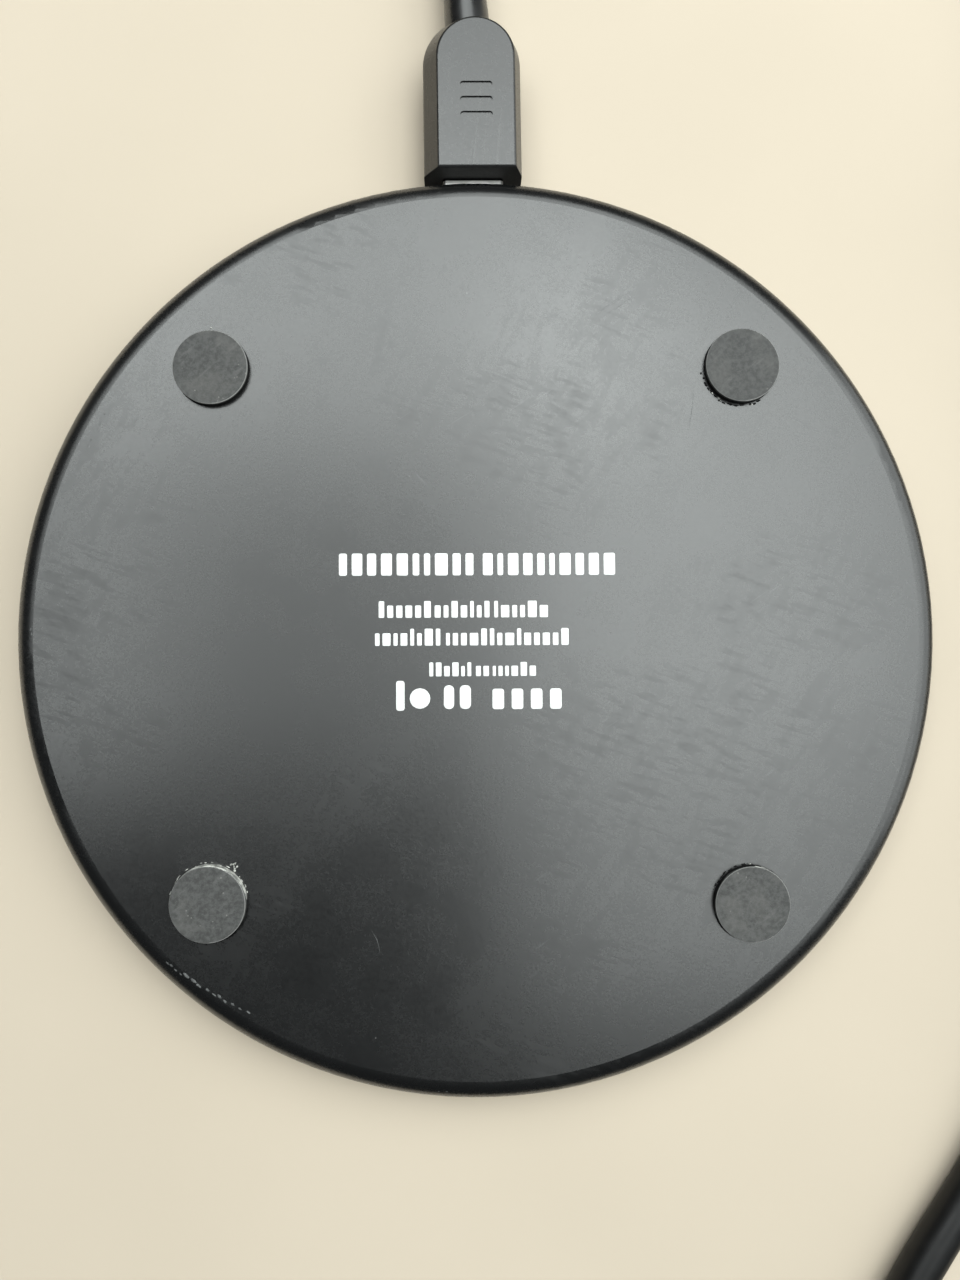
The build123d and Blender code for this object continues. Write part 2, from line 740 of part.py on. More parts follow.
with BuildPart() as plug_a_insulator:
    with BuildSketch(plug_a_plane(shell_a_root)):
        Rectangle(shell_a_width - 2 * shell_a_wall, shell_a_height - 2 * shell_a_wall)
    extrude(amount=shell_a_hidden + tongue_a_root)
    fillet(plug_a_insulator.edges().filter_by(Axis(tail_root, tail_direction)), radius=insulator_a_round)
    with BuildSketch(plug_a_plane(shell_a_root)):
        with Locations((0, (tongue_a_thickness - shell_a_height) / 2 + shell_a_wall)):
            Rectangle(shell_a_width - 2 * (shell_a_wall + tongue_a_side_gap), tongue_a_thickness)
    extrude(amount=shell_a_tip - shell_a_root - tongue_a_setback)
save(plug_a_insulator, "plug_a_insulator")

with BuildPart() as plug_a_contacts:
    strip_width, strip_thickness, strip_length, strip_pitch = contact_a
    above_tongue = tongue_a_thickness - shell_a_height / 2 + shell_a_wall + strip_thickness / 2
    with BuildSketch(plug_a_plane(shell_a_root + shell_a_hidden + tongue_a_root)):
        with Locations((0, above_tongue)):
            with GridLocations(strip_pitch, 0, 4, 1):
                Rectangle(strip_width, strip_thickness)
    extrude(amount=strip_length)
save(plug_a_contacts, "plug_a_contacts")
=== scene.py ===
"""Looks of the round wireless charging pad, lying face down with its lead plugged in."""

import json
import math
import random

import bpy
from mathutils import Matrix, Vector


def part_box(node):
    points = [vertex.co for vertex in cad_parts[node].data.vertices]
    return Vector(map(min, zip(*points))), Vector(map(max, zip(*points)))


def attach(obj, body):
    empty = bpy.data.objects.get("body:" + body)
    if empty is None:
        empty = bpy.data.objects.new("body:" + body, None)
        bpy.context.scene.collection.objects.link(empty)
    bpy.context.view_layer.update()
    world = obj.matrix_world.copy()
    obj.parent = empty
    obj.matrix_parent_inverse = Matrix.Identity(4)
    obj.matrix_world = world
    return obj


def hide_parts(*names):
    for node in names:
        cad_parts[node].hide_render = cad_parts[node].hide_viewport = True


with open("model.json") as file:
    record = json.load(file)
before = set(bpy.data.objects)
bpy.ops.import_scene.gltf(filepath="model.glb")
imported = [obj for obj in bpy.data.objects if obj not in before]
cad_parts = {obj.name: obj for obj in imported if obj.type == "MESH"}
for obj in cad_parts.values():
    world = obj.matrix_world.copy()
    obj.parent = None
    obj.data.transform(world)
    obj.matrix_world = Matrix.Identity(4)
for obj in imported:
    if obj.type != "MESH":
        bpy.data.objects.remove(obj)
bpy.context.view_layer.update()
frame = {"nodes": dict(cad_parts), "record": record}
nodes = frame["nodes"]
slot_of = {part["node"]: part["material_slot"] for part in frame["record"]["subparts"]}
MM = 0.001

back_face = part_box("back_cover")[1].z
foot_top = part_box("foot_port_left")[1].z
overmold_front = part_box("plug_overmold")[0].y


def link(name, data):
    """A new object in the scene."""
    made = bpy.data.objects.new(name, data)
    bpy.context.scene.collection.objects.link(made)
    return made


# ---------------------------------------------------------------- camera
def make_camera():
    """Looks down on the pad from 103 mm above its back, a hair off the vertical."""
    data = bpy.data.cameras.new("camera")
    data.sensor_width = 36.0
    data.lens = 27.06
    data.clip_start = 0.005
    camera = link("camera", data)
    camera.location = (-2.32 * MM, -5.11 * MM, 111.4 * MM)
    camera.rotation_mode = "ZYX"
    camera.rotation_euler = [math.radians(angle) for angle in (2.30, -1.26, -0.80)]
    bpy.context.scene.camera = camera


make_camera()

# ---------------------------------------------------------------- cord
cord_diameter = 4.5 * MM
cord_radius = cord_diameter / 2
port_height = 4.2 * MM
cord_lean = math.radians(4.0)
cord_direction = Vector((-math.sin(cord_lean), math.cos(cord_lean), 0))
relief_root = Vector((0, 64.0 * MM, port_height))
cord_exit = relief_root + cord_direction * 14.0 * MM
cord_floor_height = cord_radius + 0.05 * MM

coil_centre = Vector((9.1 * MM, -111.0 * MM, 0))
coil_middle_radius = 26.0 * MM
coil_bottom_turn = 0.65 * MM + cord_radius + 0.05 * MM
coil_top_turn = coil_bottom_turn + cord_diameter * math.sin(math.radians(60))

tail_angle = math.radians(-100)
tail_direction = Vector((math.sin(tail_angle), -math.cos(tail_angle), 0))
tail_side = Vector((math.cos(tail_angle), math.sin(tail_angle), 0))
tail_root = coil_centre + tail_side * (coil_middle_radius + cord_radius)


def lead_points():
    """From inside the strain relief, loosely round the pad, to the coil."""
    on_floor = [
        (1.0, 101.5),
        (9.5, 114.0),
        (26.0, 120.5),
        (45.0, 117.5),
        (59.5, 105.0),
        (66.5, 86.0),
        (68.0, 60.0),
        (65.5, 25.0),
        (67.0, -5.0),
        (66.5, -32.0),
        (60.3, -54.4),
        (44.3, -76.7),
    ]
    points = [cord_exit - cord_direction * 2.0 * MM, cord_exit + cord_direction * 9.0 * MM]
    points += [Vector((x * MM, y * MM, cord_floor_height)) for x, y in on_floor]
    points.append(Vector((40.1 * MM, -90.0 * MM, cord_floor_height + 0.1 * MM)))
    coil_side = coil_centre.x + coil_middle_radius + cord_diameter
    points.append(Vector((coil_side, -103.3 * MM, coil_bottom_turn)))
    return points


def coil_points():
    """Three turns side by side, inwards, then one and a part on top of them, outwards."""
    per_turn = 16
    tracks = [
        (coil_middle_radius + cord_diameter, coil_bottom_turn),
        (coil_middle_radius, coil_bottom_turn),
        (coil_middle_radius - cord_diameter, coil_bottom_turn),
        (coil_middle_radius - cord_radius, coil_top_turn),
        (coil_middle_radius + cord_radius, coil_top_turn),
    ]
    step_over = per_turn / 4  # a turn takes this many points to reach its own track
    last_turn_part = 4
    points = []
    for step in range(4 * per_turn + last_turn_part + 1):
        turn, part = divmod(step, per_turn)
        radius, height = tracks[turn]
        if turn > 0 and part < step_over:
            share = part / step_over
            share = share * share * (3 - 2 * share)
            inner_radius, inner_height = tracks[turn - 1]
            radius = inner_radius + (radius - inner_radius) * share
            height = inner_height + (height - inner_height) * share
        angle = -2 * math.pi * step / per_turn
        around = Vector((math.cos(angle), math.sin(angle), 0))
        points.append(coil_centre + around * radius + Vector((0, 0, height)))
    return points


def tail_points():
    """Down from the coil's top turn into the USB-A plug's strain relief."""
    runs = [(0.0, coil_top_turn), (5.0, coil_top_turn - 0.5 * MM), (12.5, 4.9 * MM), (20.5, 4.3 * MM)]
    runs.append((23.0, 4.3 * MM))
    return [tail_root + tail_direction * run * MM + Vector((0, 0, height)) for run, height in runs]


def make_cord():
    points = lead_points() + coil_points() + tail_points()
    curve = bpy.data.curves.new("usb_lead_cord", "CURVE")
    curve.dimensions = "3D"
    spline = curve.splines.new("NURBS")
    spline.points.add(len(points) - 1)
    for control, place in zip(spline.points, points):
        control.co = (*place, 1.0)
        control.radius = cord_radius
    spline.order_u = 3
    spline.use_endpoint_u = True
    spline.resolution_u = 8
    curve.bevel_depth = 1.0  # times each point's radius
    curve.bevel_resolution = 8
    cord = link("usb_lead_cord", curve)
    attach(cord, "lead")
    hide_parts("usb_cable", "usb_cable_coil", "usb_cable_tail")
    return cord


cord = make_cord()


# ---------------------------------------------------------------- floor and light
def make_floor():
    mesh = bpy.data.meshes.new("floor")
    half = 2.0
    corners = [(-half, -half, 0), (half, -half, 0), (half, half, 0), (-half, half, 0)]
    mesh.from_pydata(corners, [], [(0, 1, 2, 3)])
    floor = link("floor", mesh)
    floor.location.z = -0.05 * MM
    return floor


def area_light(name, place, size, power, color, tilt=0.0):
    """A rectangular light that faces down, or is tilted by degrees to face -X."""
    data = bpy.data.lights.new(name, "AREA")
    data.shape = "RECTANGLE"
    data.size, data.size_y = size
    data.energy = power
    data.color = color
    light = link(name, data)
    light.location = place
    light.rotation_euler.y = math.radians(tilt)


def make_world():
    world = bpy.data.worlds.new("world")
    bpy.context.scene.world = world
    world.use_nodes = True
    background = world.node_tree.nodes["Background"]
    background.inputs["Color"].default_value = (0.93, 0.96, 1.0, 1)
    background.inputs["Strength"].default_value = 0.055
    bpy.context.scene.view_settings.view_transform = "Standard"


floor = make_floor()
cool_white = (0.95, 1.0, 0.985)
area_light("broad_sky", (0.031, 0.173, 0.600), (1.064, 0.487), 3.33, cool_white)
area_light("far_window", (-0.069, 0.284, 0.601), (0.420, 0.236), 1.35, cool_white)
area_light("side_window", (0.184, 0.033, 0.602), (0.288, 0.558), 2.2, cool_white)
area_light("near_pane", (-0.276, 0.153, 0.603), (0.076, 0.463), 0.45, cool_white)
area_light("upper_window", (0.02, 0.56, 0.604), (0.60, 0.32), 2.3, cool_white)
area_light("right_haze", (0.60, 0.08, 0.605), (0.44, 0.90), 3.4, cool_white)
area_light("right_side", (0.95, 0.15, 0.46), (0.80, 1.20), 6.6, cool_white, tilt=90)
make_world()


# ---------------------------------------------------------------- node helpers
class Finish:
    """One procedural material, with short calls for the nodes that it is made of."""

    def __init__(self, name, color, roughness, metallic=0.0):
        self.material = bpy.data.materials.new(name)
        self.material.use_nodes = True
        self.tree = self.material.node_tree
        self.shader = self.tree.nodes["Principled BSDF"]
        self.set("Base Color", (*color, 1))
        self.set("Roughness", roughness)
        self.set("Metallic", metallic)
        self.color = color
        self.place = self.node("ShaderNodeTexCoord").outputs["Object"]

    def node(self, kind, **settings):
        made = self.tree.nodes.new(kind)
        for key, value in settings.items():
            setattr(made, key, value)
        return made

    def set(self, socket, value):
        """A constant goes straight on the shader's own socket."""
        self.shader.inputs[socket].default_value = value

    def feed(self, socket, output):
        self.tree.links.new(output, self.shader.inputs[socket])

    def join(self, output, target):
        if isinstance(output, (int, float, tuple)):
            target.default_value = output
        else:
            self.tree.links.new(output, target)

    def noise(self, size, detail, place=None, roughness=0.5):
        """Noise from 0 to 1 whose blotches are about this large, in metres."""
        made = self.node("ShaderNodeTexNoise")
        made.inputs["Scale"].default_value = 0.5 / size
        made.inputs["Detail"].default_value = detail
        made.inputs["Roughness"].default_value = roughness
        self.join(place or self.place, made.inputs["Vector"])
        return made.outputs["Fac"]

    def cells(self, size):
        """Distance to the nearest of scattered points, about this far apart."""
        made = self.node("ShaderNodeTexVoronoi")
        made.inputs["Scale"].default_value = 1 / size
        self.join(self.place, made.inputs["Vector"])
        return made.outputs["Distance"]

    def waves(self, size, direction, distortion=0.0):
        """Parallel ridges about this far apart."""
        ridge_at_scale_one = 0.314  # the distance between the node's own ridges
        made = self.node("ShaderNodeTexWave", bands_direction=direction)
        made.inputs["Scale"].default_value = ridge_at_scale_one / size
        made.inputs["Distortion"].default_value = distortion
        self.join(self.place, made.inputs["Vector"])
        return made.outputs["Fac"]

    def stretched(self, turn, stretch):
        """The place, turned in plan by degrees and stretched along the turned X."""
        made = self.node("ShaderNodeMapping", vector_type="TEXTURE")
        made.inputs["Rotation"].default_value = (0, 0, math.radians(turn))
        made.inputs["Scale"].default_value = (stretch, 1, 1)
        self.join(self.place, made.inputs["Vector"])
        return made.outputs["Vector"]

    def math(self, operation, first, second):
        made = self.node("ShaderNodeMath", operation=operation)
        self.join(first, made.inputs[0])
        self.join(second, made.inputs[1])
        return made.outputs[0]

    def band(self, value, low, high, start=0.0, end=1.0):
        """Maps value from low..high to start..end, clamped and eased."""
        made = self.node("ShaderNodeMapRange", interpolation_type="SMOOTHSTEP")
        self.join(value, made.inputs["Value"])
        for name, number in zip(("From Min", "From Max", "To Min", "To Max"), (low, high, start, end)):
            self.join(number, made.inputs[name])
        return made.outputs["Result"]

    def blend(self, share, first, second):
        """Blends two colours, each a constant or another node's output."""
        made = self.node("ShaderNodeMix", data_type="RGBA")
        color_a, color_b = made.inputs[6], made.inputs[7]  # named A and B, as the numbers' sockets are too
        self.join(share, made.inputs["Factor"])
        self.join((*first, 1) if isinstance(first, tuple) else first, color_a)
        self.join((*second, 1) if isinstance(second, tuple) else second, color_b)
        return made.outputs[2]

    def bump(self, height, depth, strength=1.0):
        made = self.node("ShaderNodeBump")
        made.inputs["Strength"].default_value = strength
        made.inputs["Distance"].default_value = depth
        self.join(height, made.inputs["Height"])
        self.feed("Normal", made.outputs["Normal"])

    def apart(self):
        """The place's X, Y and Z."""
        made = self.node("ShaderNodeSeparateXYZ")
        self.join(self.place, made.inputs[0])
        return made.outputs

    def tint(self, other, size, detail=3.0):
        """Colour that drifts between the base colour and another in soft blotches."""
        share = self.band(self.noise(size, detail), 0.35, 0.65)
        self.feed("Base Color", self.blend(share, self.color, other))

    def sheen_spread(self, size, low, high):
        """Roughness that drifts between two values."""
        self.feed("Roughness", self.band(self.noise(size, 3.0), 0.3, 0.7, low, high))


# ---------------------------------------------------------------- materials of the seen parts
def case_plastic():
    """Matt black moulded plastic: spark-eroded grain, handling smudges and hairline scuffs."""
    made = Finish("case_plastic", (0.0036, 0.0038, 0.0039), 0.27)
    made.set("Specular IOR Level", 0.72)
    grain = made.noise(0.16 * MM, 2.0)
    pores = made.cells(0.34 * MM)
    cloud = made.noise(3.0 * MM, 4.0, roughness=0.6)
    smudge = made.band(made.noise(11 * MM, 4.0, roughness=0.62), 0.46, 0.62)
    haze = made.band(made.noise(8 * MM, 2.0), 0.35, 0.65, -0.008, 0.010)
    patch = made.band(made.noise(9 * MM, 2.0), 0.53, 0.62)
    swipe = made.band(made.noise(0.6 * MM, 3.0, made.stretched(58, 3.0)), 0.46, 0.64)
    rubs = made.band(made.noise(0.30 * MM, 2.0, made.stretched(-20, 5.0)), 0.50, 0.66)
    hair_one = made.band(made.noise(0.16 * MM, 1.0, made.stretched(33, 16.0)), 0.72, 0.80)
    hair_two = made.band(made.noise(0.15 * MM, 1.0, made.stretched(-52, 12.0)), 0.73, 0.81)
    hairs = made.math("MULTIPLY", made.math("MAXIMUM", hair_one, hair_two), patch)
    swipes = made.math("MULTIPLY", smudge, made.math("MULTIPLY", swipe, 0.028))
    prints = made.math("MULTIPLY", patch, made.math("MULTIPLY", rubs, 0.055))
    rough = made.band(grain, 0.3, 0.7, 0.250, 0.282)
    for share in (made.band(cloud, 0.3, 0.7, -0.014, 0.014), swipes, haze, prints):
        rough = made.math("ADD", rough, share)
    made.feed("Roughness", rough)
    lint = made.band(made.cells(5.2 * MM), 0.020, 0.010)
    worn = made.blend(made.math("MULTIPLY", hairs, 0.5), made.color, (0.030, 0.031, 0.032))
    made.feed("Base Color", made.blend(made.math("MULTIPLY", lint, 0.5), worn, (0.12, 0.12, 0.115)))
    height = made.math("ADD", made.math("MULTIPLY", pores, 0.6), grain)
    made.bump(height, 0.005 * MM, 0.5)
    return made.material


def foot_rubber():
    """Dark grey rubber with a dusty, mottled face and a paler edge that is a painted highlight."""
    made = Finish("foot_rubber", (0.062, 0.061, 0.058), 0.72)
    made.set("Specular IOR Level", 0.35)
    mottle = made.noise(0.25 * MM, 4.0, roughness=0.75)
    dust = made.band(made.noise(1.3 * MM, 4.0), 0.44, 0.70)
    dusty_part = made.band(made.noise(2.5 * MM, 1.0), 0.48, 0.56)
    specks = made.math("MULTIPLY", made.band(made.cells(0.7 * MM), 0.17, 0.06), dusty_part)
    rubbed = made.band(made.noise(0.25 * MM, 2.0, made.stretched(40, 5.0)), 0.58, 0.74)
    height = made.apart()["Z"]
    edge_top = made.math("SUBTRACT", 1.0, made.band(height, foot_top - 0.030 * MM, foot_top - 0.002 * MM))
    edge = made.math("MULTIPLY", made.band(height, foot_top - 0.15 * MM, foot_top - 0.09 * MM), edge_top)
    base = made.blend(made.band(mottle, 0.34, 0.66), (0.031, 0.0315, 0.0305), (0.068, 0.0685, 0.067))
    base = made.blend(made.math("MULTIPLY", dust, 0.38), base, (0.100, 0.098, 0.093))
    base = made.blend(made.math("MULTIPLY", rubbed, 0.16), base, (0.15, 0.15, 0.145))
    # Painted highlight: the pale ring round the top edge stands in for light caught on the rim.
    base = made.blend(made.math("MULTIPLY", edge, 0.55), base, (0.30, 0.30, 0.29))
    made.feed("Base Color", made.blend(made.math("MULTIPLY", specks, 0.45), base, (0.24, 0.235, 0.22)))
    made.feed("Roughness", made.band(mottle, 0.3, 0.7, 0.62, 0.80))
    made.bump(mottle, 0.03 * MM, 0.6)
    return made.material


def overmold_pvc():
    """Satin black PVC with a faint grain, a few shiny rubs and a dull end face whose colour is painted
    near-black as shade.
    """
    made = Finish("overmold_pvc", (0.0040, 0.0040, 0.0041), 0.30)
    made.set("Specular IOR Level", 0.70)
    grain = made.noise(0.14 * MM, 3.0)
    rub = made.band(made.noise(2.6 * MM, 3.0), 0.42, 0.68)
    streak = made.band(made.noise(0.25 * MM, 1.0, made.stretched(84, 26.0)), 0.64, 0.76)
    run = made.apart()["Y"]
    front_dull_and_painted_shade = made.band(run, overmold_front + 0.01 * MM, overmold_front + 0.15 * MM, 1.0, 0.0)
    base = made.blend(made.math("MULTIPLY", rub, 0.5), made.color, (0.009, 0.009, 0.009))
    # Painted shade: the end face's colour is painted near-black; its roughness is raised to dull it.
    made.feed("Base Color", made.blend(front_dull_and_painted_shade, base, (0.0008, 0.0008, 0.0008)))
    rough = made.math("ADD", made.band(grain, 0.3, 0.7, 0.27, 0.33), made.math("MULTIPLY", front_dull_and_painted_shade, 0.45))
    made.feed("Roughness", made.math("SUBTRACT", rough, made.math("MULTIPLY", streak, 0.05)))
    made.bump(made.math("ADD", grain, made.math("MULTIPLY", rub, 0.8)), 0.006 * MM, 0.5)
    return made.material


def cord_pvc():
    """Dull black PVC jacket, faintly dusty, with a slight ripple."""
    made = Finish("cord_pvc", (0.0036, 0.0036, 0.0038), 0.42)
    made.set("Specular IOR Level", 0.30)
    dust = made.math("MULTIPLY", made.band(made.noise(1.6 * MM, 4.0), 0.5, 0.8), 0.35)
    ripple = made.noise(0.9 * MM, 2.0)
    made.feed("Base Color", made.blend(dust, made.color, (0.012, 0.0115, 0.011)))
    made.feed("Roughness", made.band(ripple, 0.3, 0.7, 0.39, 0.46))
    made.bump(ripple, 0.006 * MM, 0.5)
    return made.material


def relief_pvc():
    """The lead's strain reliefs: the same PVC, polished by its mould."""
    made = Finish("relief_pvc", (0.0036, 0.0036, 0.0038), 0.28)
    made.set("Specular IOR Level", 0.88)
    ripple = made.noise(1.1 * MM, 3.0)
    rub = made.band(made.noise(2.2 * MM, 3.0), 0.45, 0.70)
    made.feed("Base Color", made.blend(made.math("MULTIPLY", rub, 0.4), made.color, (0.010, 0.010, 0.010)))
    made.feed("Roughness", made.band(ripple, 0.3, 0.7, 0.26, 0.32))
    made.bump(ripple, 0.004 * MM, 0.5)
    return made.material


def plated_shell():
    """Bright nickel plate with fine drawing marks, a little tarnish, and painted shade where it runs into
    the overmould.
    """
    made = Finish("plated_shell", (0.88, 0.87, 0.84), 0.32, 1.0)
    brushed = made.noise(0.30 * MM, 3.0, made.stretched(90, 6.0))
    tarnish = made.band(made.noise(1.4 * MM, 3.0), 0.52, 0.74)
    run = made.apart()["Y"]  # painted shade: the shell is near-black where it runs into the overmould
    shell_painted_shade = made.band(run, overmold_front - 0.28 * MM, overmold_front - 0.20 * MM)
    base = made.blend(made.math("MULTIPLY", tarnish, 0.4), made.color, (0.42, 0.39, 0.33))
    # Painted shade: the shell's colour goes near-black next to the overmould's end face.
    made.feed("Base Color", made.blend(shell_painted_shade, base, (0.01, 0.01, 0.01)))
    made.feed("Roughness", made.band(brushed, 0.3, 0.7, 0.29, 0.35))
    made.bump(brushed, 0.0005 * MM, 0.5)
    return made.material


def white_ink():
    """Pad-printed white ink, a little thin in places."""
    made = Finish("white_ink", (0.66, 0.67, 0.66), 0.45)
    thin = made.band(made.noise(0.22 * MM, 3.0), 0.58, 0.76)
    made.feed("Base Color", made.blend(made.math("MULTIPLY", thin, 0.55), made.color, (0.42, 0.43, 0.43)))
    made.feed("Roughness", made.band(thin, 0.0, 1.0, 0.40, 0.6))
    made.bump(made.noise(0.15 * MM, 2.0), 0.008 * MM, 0.5)
    return made.material


def pale_glue():
    """Dried adhesive and lint that squeezed out at a foot's edge."""
    made = Finish("pale_glue", (0.58, 0.58, 0.54), 0.55)
    made.tint((0.16, 0.16, 0.15), 0.35 * MM)
    made.bump(made.noise(0.2 * MM, 3.0), 0.03 * MM)
    return made.material


def dark_glue_and_painted_shade():
    """Adhesive crumbs that have picked up dirt, and dark beads of painted shade along the feet's sides."""
    made = Finish("dark_glue_and_painted_shade", (0.002, 0.002, 0.002), 0.8)
    made.set("Specular IOR Level", 0.15)
    made.tint((0.008, 0.008, 0.008), 0.3 * MM)
    made.bump(made.noise(0.2 * MM, 3.0), 0.03 * MM)
    return made.material


def worn_plastic():
    """Stress-whitened plastic where the rim was knocked."""
    made = Finish("worn_plastic", (0.105, 0.108, 0.107), 0.6)
    made.tint((0.05, 0.052, 0.052), 0.25 * MM)
    made.bump(made.noise(0.12 * MM, 3.0), 0.02 * MM)
    return made.material


def face_acrylic():
    """Glossy black acrylic disc with fine wipe marks."""
    made = Finish("face_acrylic", (0.008, 0.008, 0.009), 0.07)
    made.set("Coat Weight", 0.4)
    made.set("Coat Roughness", 0.03)
    smear = made.band(made.noise(7 * MM, 4.0), 0.45, 0.7)
    hairs = made.band(made.noise(0.12 * MM, 1.0, made.stretched(24, 80.0)), 0.72, 0.80)
    rough = made.math("ADD", made.band(smear, 0.0, 1.0, 0.06, 0.13), made.math("MULTIPLY", hairs, 0.12))
    made.feed("Roughness", rough)
    made.feed("Base Color", made.blend(made.math("MULTIPLY", smear, 0.3), made.color, (0.016, 0.016, 0.018)))
    made.bump(hairs, -0.002 * MM)
    return made.material


# ---------------------------------------------------------------- materials inside and at the far end
def adhesive_tape():
    made = Finish("adhesive_tape", (0.74, 0.73, 0.68), 0.5)
    fibre = made.noise(0.10 * MM, 2.0, made.stretched(12, 12.0))
    made.feed("Base Color", made.blend(made.band(fibre, 0.4, 0.7), made.color, (0.60, 0.58, 0.52)))
    made.sheen_spread(1.5 * MM, 0.42, 0.60)
    made.bump(fibre, 0.01 * MM)
    return made.material


def screw_steel():
    made = Finish("screw_steel", (0.16, 0.16, 0.17), 0.38, 1.0)
    made.tint((0.30, 0.29, 0.28), 0.5 * MM)
    made.feed("Roughness", made.band(made.noise(0.08 * MM, 2.0), 0.3, 0.7, 0.30, 0.48))
    made.bump(made.noise(0.1 * MM, 2.0), 0.004 * MM)
    return made.material


def litz_copper():
    """Enamelled strands twisted together: fine slanted ridges that change tone."""
    made = Finish("litz_copper", (0.55, 0.23, 0.09), 0.34, 1.0)
    strands = made.waves(0.24 * MM, "DIAGONAL", 1.2)
    made.feed("Base Color", made.blend(made.band(strands, 0.2, 0.8), (0.32, 0.12, 0.045), made.color))
    made.sheen_spread(0.8 * MM, 0.28, 0.42)
    made.bump(strands, 0.03 * MM)
    return made.material


def ferrite():
    made = Finish("ferrite", (0.050, 0.050, 0.053), 0.55)
    made.tint((0.085, 0.083, 0.082), 0.12 * MM, 4.0)
    made.sheen_spread(2.0 * MM, 0.45, 0.65)
    made.bump(made.noise(0.10 * MM, 4.0), 0.01 * MM)
    return made.material


def board_laminate():
    """Green solder mask over copper tracks that run square to each other."""
    made = Finish("board_laminate", (0.010, 0.085, 0.032), 0.3)
    tracks_x = made.band(made.waves(1.27 * MM, "X"), 0.70, 0.78)
    tracks_y = made.band(made.waves(1.27 * MM, "Y"), 0.76, 0.84)
    choice = made.band(made.noise(3.5 * MM, 1.0), 0.49, 0.51)
    tracks = made.math("ADD", made.math("MULTIPLY", tracks_x, choice),
                       made.math("MULTIPLY", tracks_y, made.math("SUBTRACT", 1.0, choice)))
    made.feed("Base Color", made.blend(tracks, made.color, (0.024, 0.17, 0.06)))
    made.sheen_spread(2.5 * MM, 0.24, 0.36)
    made.bump(tracks, 0.03 * MM)
    return made.material


def chip_epoxy():
    made = Finish("chip_epoxy", (0.018, 0.018, 0.019), 0.5)
    made.tint((0.030, 0.030, 0.031), 0.3 * MM)
    made.sheen_spread(0.9 * MM, 0.42, 0.58)
    made.bump(made.noise(0.06 * MM, 3.0), 0.006 * MM)
    return made.material


def ceramic_tan():
    """Ceramic body, tinned towards the ends of each part."""
    made = Finish("ceramic_tan", (0.42, 0.29, 0.16), 0.38)
    made.tint((0.52, 0.39, 0.25), 0.25 * MM)
    made.sheen_spread(0.5 * MM, 0.30, 0.46)
    made.bump(made.noise(0.07 * MM, 3.0), 0.005 * MM)
    return made.material


def connector_plastic():
    made = Finish("connector_plastic", (0.016, 0.016, 0.017), 0.38)
    made.tint((0.024, 0.024, 0.025), 0.6 * MM)
    made.sheen_spread(0.4 * MM, 0.32, 0.46)
    made.bump(made.noise(0.08 * MM, 2.0), 0.004 * MM)
    return made.material


def white_plastic():
    made = Finish("white_plastic", (0.78, 0.78, 0.75), 0.36)
    made.tint((0.70, 0.69, 0.63), 1.8 * MM)
    made.sheen_spread(0.5 * MM, 0.30, 0.44)
    made.bump(made.noise(0.10 * MM, 2.0), 0.004 * MM)
    return made.material


def gold_contact():
    made = Finish("gold_contact", (0.83, 0.60, 0.21), 0.24, 1.0)
    made.tint((0.66, 0.45, 0.16), 0.35 * MM)
    made.feed("Roughness", made.band(made.noise(0.05 * MM, 2.0), 0.3, 0.7, 0.18, 0.34))
    made.bump(made.noise(0.06 * MM, 2.0), 0.002 * MM)
    return made.material


def tie_strap():
    """Black hook-and-loop strap: a fine nap of loops."""
    made = Finish("tie_strap", (0.016, 0.016, 0.017), 0.85)
    made.set("Sheen Weight", 0.25)
    loops = made.cells(0.28 * MM)
    made.feed("Base Color", made.blend(made.band(loops, 0.2, 0.8), (0.030, 0.030, 0.031), made.color))
    made.sheen_spread(0.4 * MM, 0.75, 0.95)
    made.bump(loops, 0.08 * MM)
    return made.material


def floor_paper():
    """Plain pale backdrop with the slightest tooth."""
    made = Finish("floor_paper", (0.468, 0.404, 0.322), 0.85)
    made.tint((0.451, 0.389, 0.309), 30 * MM)
    return made.material


finishes = {
    builder.__name__: builder()
    for builder in (
        case_plastic,
        face_acrylic,
        adhesive_tape,
        foot_rubber,
        screw_steel,
        litz_copper,
        ferrite,
        board_laminate,
        chip_epoxy,
        ceramic_tan,
        plated_shell,
        connector_plastic,
        white_plastic,
        gold_contact,
        overmold_pvc,
        cord_pvc,
        relief_pvc,
        tie_strap,
        white_ink,
        pale_glue,
        dark_glue_and_painted_shade,
        worn_plastic,
    )
}


def paint(piece, material):
    piece.data.materials.clear()
    piece.data.materials.append(material)


# ---------------------------------------------------------------- print, residue and wear
edge_round = 2.4 * MM  # of the back cover's rim
edge_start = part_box("back_cover")[1].x - edge_round


def foot_spot(spot):
    """A foot's centre in plan."""
    low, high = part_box(f"foot_{spot}")
    return (low.x + high.x) / 2, (low.y + high.y) / 2


foot_low, foot_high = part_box("foot_port_left")
foot_radius = (foot_high.x - foot_low.x) / 2


class Piece:
    """Gathers the points and faces of one small piece that rides on the pad."""

    def __init__(self, name, finish):
        self.name = name
        self.finish = finish
        self.points = []
        self.faces = []

    def skin(self, rows, closed=True, capped=True):
        """Joins rows of points into a skin, and caps the last row if asked."""
        count = len(rows[0])
        start = len(self.points)
        for row in rows:
            self.points += row
        spans = count if closed else count - 1
        for level in range(len(rows) - 1):
            low = start + level * count
            for k in range(spans):
                after = (k + 1) % count
                self.faces.append((low + k, low + after, low + count + after, low + count + k))
        if capped:
            last = start + (len(rows) - 1) * count
            self.faces.append(tuple(range(last, last + count)))

    def done(self):
        mesh = bpy.data.meshes.new(self.name)
        mesh.from_pydata(self.points, [], self.faces)
        mesh.polygons.foreach_set("use_smooth", [True] * len(mesh.polygons))
        piece = link(self.name, mesh)
        paint(piece, finishes[self.finish])
        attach(piece, "pad")


